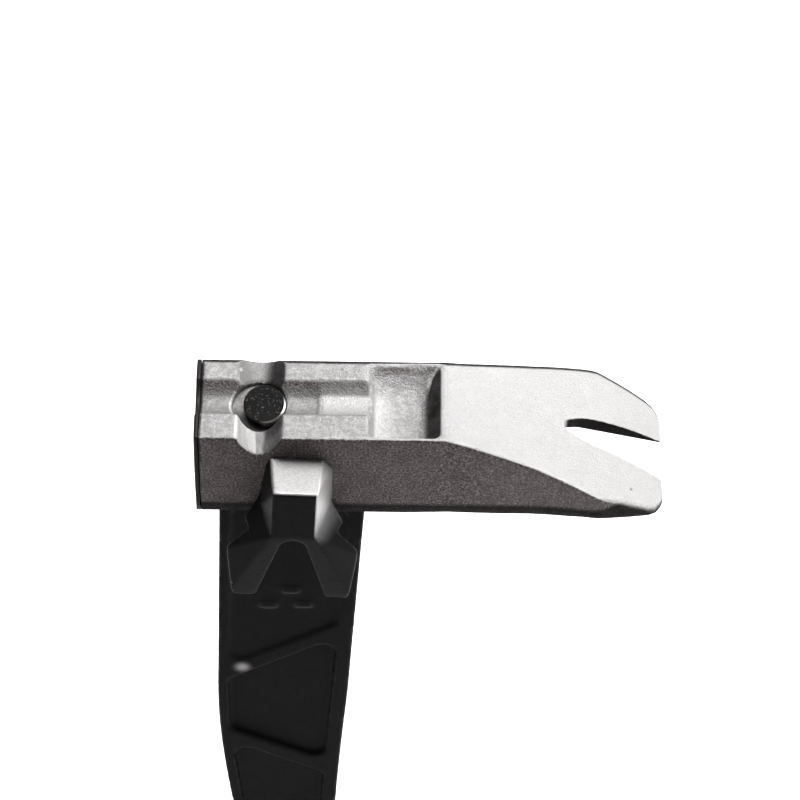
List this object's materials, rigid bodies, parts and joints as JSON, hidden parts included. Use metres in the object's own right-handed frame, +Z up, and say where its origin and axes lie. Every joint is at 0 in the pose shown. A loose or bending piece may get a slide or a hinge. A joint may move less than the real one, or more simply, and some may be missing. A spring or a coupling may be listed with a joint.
{
  "type": "pry bar",
  "caption": "Hammer-headed pry bar: cast head with rip claw, magnetic nail starter and side nail puller, on a coated steel handle with a rubber grip",
  "frame": {"origin": "centre of the handle's axis on the flat end of the butt", "axes": "+Z runs up the handle from butt to head, +X points along the head to the claw, -X to the striking face, -Y to the side with the nail puller"},
  "size_m": [0.1421, 0.0561, 0.44],
  "materials": {
    "cast_steel": "bead blasted",
    "strike_steel": "ground",
    "black_screw": "black oxide",
    "magnet": "dark nickel",
    "potting": "grey resin",
    "black_coating": "worn black coating",
    "zinc": "zinc plated",
    "nylon": "moulded",
    "grip_rubber": "moulded"
  },
  "bodies": {
    "root": {"head": "cast_steel", "strike_face": "strike_steel", "face_lock_screw": "black_screw", "nail_magnet": "magnet", "magnet_potting": "potting", "side_nail_puller": "black_coating", "puller_screw": "black_screw", "puller_lock_washer": "zinc", "handle_core": "black_coating", "head_pins": "zinc", "grip_shell_near": "nylon", "grip_shell_far": "nylon", "grip_rivets": "zinc", "grip_sleeve": "grip_rubber", "grip_collar": "nylon", "butt_cap": "nylon", "hang_hole_bush": "zinc"}
  },
  "joints": []
}
